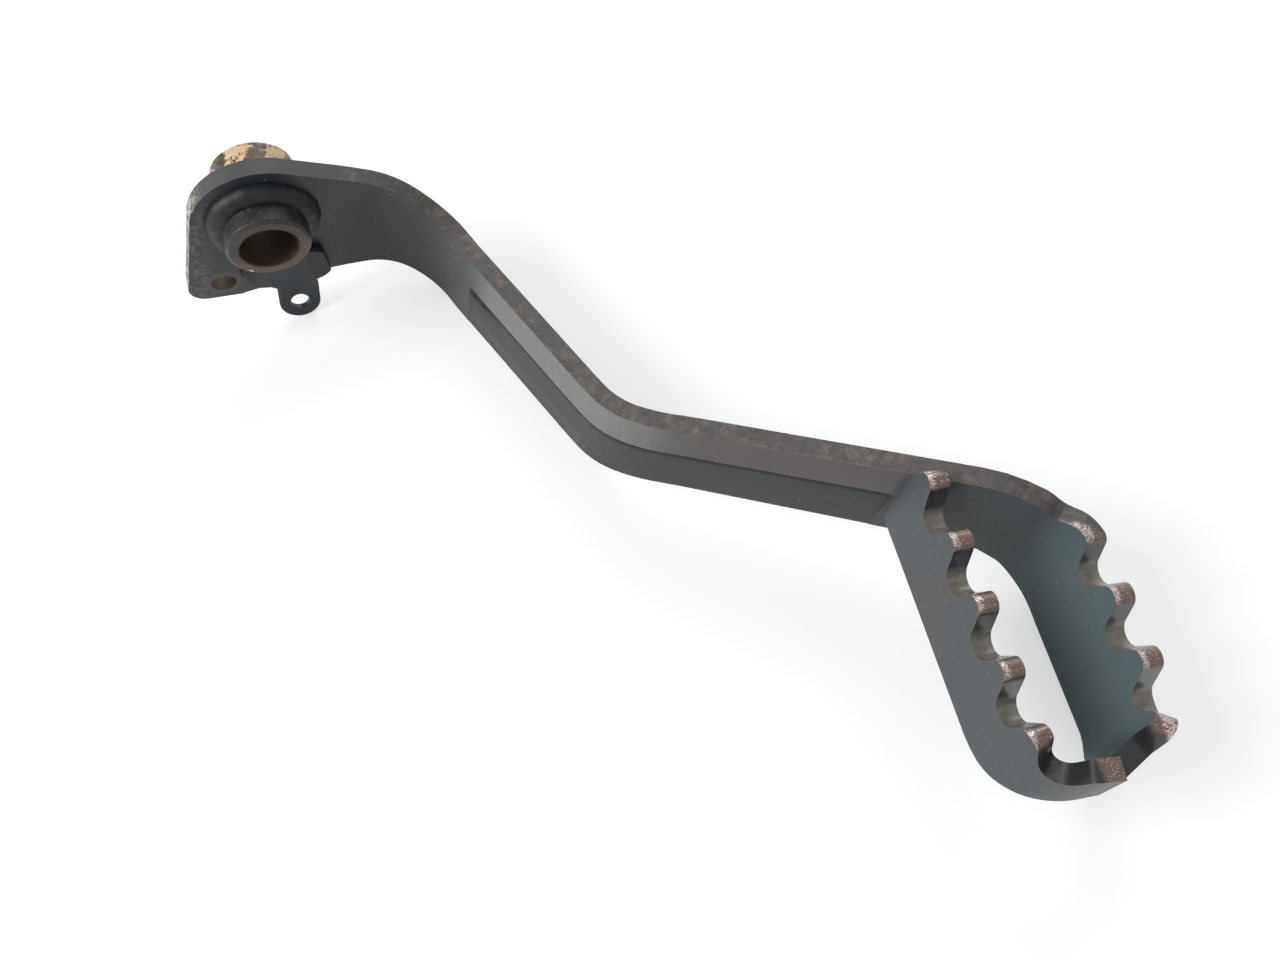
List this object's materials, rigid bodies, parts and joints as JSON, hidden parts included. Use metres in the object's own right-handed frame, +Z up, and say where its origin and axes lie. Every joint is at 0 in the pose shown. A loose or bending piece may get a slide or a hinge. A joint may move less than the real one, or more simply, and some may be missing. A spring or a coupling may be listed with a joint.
{
  "type": "rear brake pedal",
  "caption": "Bent steel plate pedal arm on a pivot tube, with a toothed tread loop at its outer end, a brake rod hole and a return spring tab.",
  "frame": {"origin": "on the pivot bore's axis, in the outer face of the head plate", "axes": "+X forward along the motorbike, +Y inboard along the pivot axis, +Z up"},
  "size_m": [0.1821, 0.2179, 0.0859],
  "materials": {
    "black_paint": "satin black paint, worn through at the teeth and edges",
    "tube_paint": "worn black paint with brown rust and dried mud"
  },
  "bodies": {
    "root": {"arm_plate": "black_paint", "rear_strip": "black_paint", "pivot_tube": "tube_paint", "spring_tab": "black_paint", "outer_bead": "black_paint", "inner_bead": "black_paint", "tab_beads": "black_paint", "strip_bead": "black_paint"}
  },
  "joints": []
}
